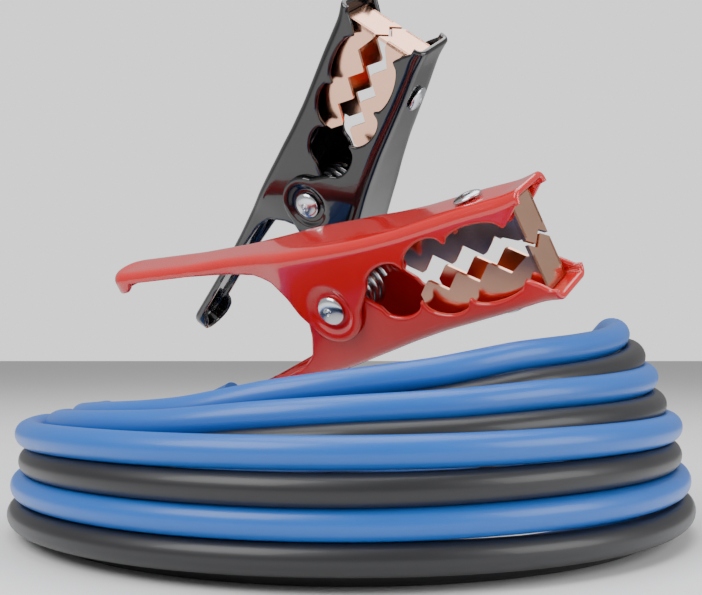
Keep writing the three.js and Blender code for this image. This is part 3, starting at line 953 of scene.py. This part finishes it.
@dataclass(frozen=True)
class CopperJaw:
    """A toothed copper tray riveted inside the nose of a shell."""

    start: float = 29.0
    front: float = 69.5
    half_width: float = 6.4
    plate: float = 1.1
    top: float = 14.0
    tip: float = 2.0
    tooth_height: float = 3.9
    teeth: int = 3
    pitch: float = 11.0
    zigzag_high: float = 2.0
    zigzag_low: float = -0.7
    base_gap: float = 0.2

    def flange(self) -> list[Point]:
        """The outline of one toothed side."""
        root = self.tip + self.tooth_height
        points = [(self.front, self.top), (self.start + 2, self.top), (self.start, self.top - 2),
                  (self.start, root - 1)]
        for i in range(self.teeth):
            peak = self.start + 4 + i * self.pitch
            points += [(peak, self.tip - 0.5), (peak + 1, self.tip - 0.3), (peak + self.pitch / 2 + 0.5, root)]
        points += [(self.front - 2.4, self.tip + 0.6), (self.front, self.tip + 0.6)]
        return points

    def parts(self) -> list[Mesh]:
        """The tray's plates: two toothed sides, the base and the front."""
        half, inner = self.half_width, self.half_width - self.plate
        base = [(self.start + 2, self.top - self.plate), (self.front, self.top - self.plate),
                (self.front, self.top), (self.start + 2, self.top)]
        zigzag = [(-half, self.zigzag_high), (-half / 3, self.zigzag_low), (half / 3, self.zigzag_high),
                  (half, self.zigzag_low), (half, self.top), (-half, self.top)]
        front_points, front_faces = prism(zigzag, self.front - self.plate, self.front)
        front_points = front_points[:, [2, 1, 0]] * np.array([1, 1, -1])
        outline = self.flange()
        return [prism(outline, inner, half), prism(outline, -half, -inner),
                prism(base, -half + self.base_gap, half - self.base_gap), (front_points, front_faces)]


@dataclass
class Clamp:
    """A sprung clamp: two shells with a copper jaw each, on a pivot rivet with a spring."""

    name: str
    finish: Finish
    cable_side: Side
    pose: Pose
    pivot: Rivet = Rivet(3.2, 4.9, 2.2, -13.9, 13.9, 1.3)
    pivot_sides: int = 48
    jaw_rivet: Rivet = Rivet(2.0, 4.4, 1.7, 12.3, 17.2, 1.0)
    jaw_rivet_sides: int = 32
    jaw_rivet_place: float = 54.0
    spring_radius: float = 7.2
    spring_wire: float = 1.9
    spring_turns: float = 5.0
    spring_half_length: float = 9.0
    spring_points: int = 28
    spring_sides: int = 12
    cable_depth: float = 5.8
    cable_seat: Sequence[Point] = ((-78, 30.4), (-90, 32.2), (-104, 34.2))
    matrix: Matrix = field(init=False)

    def __post_init__(self) -> None:
        """Finds the clamp's frame."""
        self.matrix = self.pose.matrix(OFFSET)

    def body(self, side: Side) -> str:
        """The body that a shell rides on.

        Args:
            side: the shell.

        Returns:
            The fixed body for the shell that holds the cable, and otherwise the shell's own.
        """
        return FIXED_BODY if side is self.cable_side else f"{self.name}_{side.value}_half"

    def cable_points(self, side: Side) -> list[Vector]:
        """The cable's first points inside its handle and where it leaves.

        Args:
            side: the shell that holds it.

        Returns:
            The points in metres in the part's frame.
        """
        sign = -1 if side is Side.INNER else 1
        return [self.matrix @ Vector((a, sign * (b - self.cable_depth), 0)) for a, b in self.cable_seat]

    def build(self) -> None:
        """Makes every piece of the clamp."""
        for side in Side:
            self.build_half(side)
        points, faces = turned(self.pivot.profile(), self.pivot_sides)
        pin = make_object(f"{self.name}_pivot_pin", placed(self.matrix, points), faces)
        dress(pin, ZINC, FIXED_BODY, [f"{self.name}_pivot_rivet"])
        self.build_spring()

    def build_half(self, side: Side) -> None:
        """Makes one shell with its jaw and its jaw rivet.

        Args:
            side: the shell.
        """
        stem = f"{self.name}_{side.value}"
        flip = Matrix.Rotation(math.pi, 4, "X") if side is Side.INNER else Matrix.Identity(4)
        local = self.matrix @ flip
        shell = Shell(side, side is self.cable_side).build(f"{stem}_shell_skin", self.matrix)
        dress(shell, self.finish, self.body(side), [f"{stem}_shell"])
        points, faces = merged(CopperJaw().parts())
        jaw = make_object(f"{stem}_jaw_plate", placed(local, points), faces, smooth=False)
        dress(jaw, COPPER, self.body(side), [f"{stem}_jaw"])
        points, faces = turned(self.jaw_rivet.profile(), self.jaw_rivet_sides)
        points = points[:, [0, 2, 1]] * np.array([1, 1, -1]) + np.array([self.jaw_rivet_place, 0, 0])
        rivet = make_object(f"{stem}_jaw_rivet_head", placed(local, points), faces)
        dress(rivet, ZINC, self.body(side), [f"{stem}_jaw_rivet"])

    def build_spring(self) -> None:
        """Makes the spring round the pivot."""
        turns = np.linspace(0, self.spring_turns * 2 * math.pi, int(self.spring_turns * self.spring_points))
        along = np.linspace(-self.spring_half_length, self.spring_half_length, len(turns))
        line = np.column_stack([self.spring_radius * np.cos(turns), self.spring_radius * np.sin(turns), along])
        piece = tube(f"{self.name}_spring_coil", placed(self.matrix, line), self.spring_wire / 2 * MM,
                     self.spring_sides, SPRING_STEEL)
        dress(piece, SPRING_STEEL, FIXED_BODY, [f"{self.name}_spring"])


# Studio

@dataclass(frozen=True)
class Lamp:
    """A square area light: places in millimetres in the coil's frame, size in metres, power in watts."""

    name: str
    place: Point
    aim: Point
    size: float
    power: float

    def build(self) -> None:
        """Makes the light."""
        data = bpy.data.lights.new(self.name, "AREA")
        data.size = self.size
        data.energy = self.power
        light = bpy.data.objects.new(self.name, data)
        light.location = Vector(self.place) * MM + OFFSET
        facing = Vector(self.aim) - Vector(self.place)
        light.rotation_euler = facing.to_track_quat("-Z", "Y").to_euler()
        bpy.context.scene.collection.objects.link(light)


@dataclass(frozen=True)
class Studio:
    """The camera of the photograph, a pale floor and soft lights."""

    eye: Point = (0, -325, 55.1)
    pitch: float = 3.06
    lens: float = 49.33
    sensor: float = 36.0
    world_light: float = 0.42
    backdrop: float = 1.3
    floor_reach: float = 4.0
    lamps: Sequence[Lamp] = (
        Lamp("key", (-420, -420, 620), (0, 0, 50), 0.55, 6),
        Lamp("top", (60, 60, 800), (0, 0, 60), 0.7, 5),
        Lamp("fill", (520, -300, 260), (0, 0, 80), 0.35, 2),
    )

    def build(self) -> None:
        """Makes the camera, the floor, the world and the lights."""
        self.build_camera()
        self.build_floor()
        self.build_world()
        for lamp in self.lamps:
            lamp.build()

    def build_camera(self) -> None:
        """Makes the camera."""
        data = bpy.data.cameras.new("camera")
        data.lens = self.lens
        data.sensor_width = self.sensor
        data.clip_start = 0.01
        camera = bpy.data.objects.new("camera", data)
        camera.location = Vector(self.eye) * MM + OFFSET
        camera.rotation_euler = (math.radians(90 + self.pitch), 0, 0)
        bpy.context.scene.collection.objects.link(camera)
        bpy.context.scene.camera = camera

    def build_floor(self) -> None:
        """Makes the floor."""
        reach = self.floor_reach
        corners = [(-reach, -reach, 0), (reach, -reach, 0), (reach, reach, 0), (-reach, reach, 0)]
        floor = make_object("studio_floor", np.array(corners, float), [(0, 1, 2, 3)], smooth=False)
        floor.data.materials.append(FLOOR.material())

    def build_world(self) -> None:
        """Makes the world, brighter where the camera sees it than for the light it gives."""
        world = bpy.data.worlds.new("studio")
        world.use_nodes = True
        tree = world.node_tree
        background = tree.nodes["Background"]
        background.inputs["Color"].default_value = (1, 1, 1, 1)
        seen = tree.nodes.new("ShaderNodeLightPath")
        strength = tree.nodes.new("ShaderNodeMapRange")
        strength.inputs["To Min"].default_value = self.world_light
        strength.inputs["To Max"].default_value = self.backdrop
        tree.links.new(seen.outputs["Is Camera Ray"], strength.inputs["Value"])
        tree.links.new(strength.outputs["Result"], background.inputs["Strength"])
        bpy.context.scene.world = world


def main() -> None:
    """Builds the studio, the cables and the clamps."""
    logging.basicConfig(level=logging.INFO, format="%(message)s")
    Studio().build()
    clamps = {
        "near_red": Clamp("near_red", RED_VINYL, Side.INNER, POSES["near_red"]),
        "near_black": Clamp("near_black", BLACK_VINYL, Side.OUTER, POSES["near_black"]),
        "far_black": Clamp("far_black", BLACK_VINYL, Side.INNER, POSES["far_black"]),
        "far_red": Clamp("far_red", RED_VINYL, Side.INNER, POSES["far_red"]),
    }
    for cable in (BLUE_CABLE, BLACK_CABLE):
        cable.build(clamps)
    for clamp in clamps.values():
        clamp.build()


if __name__ == "__main__":
    main()
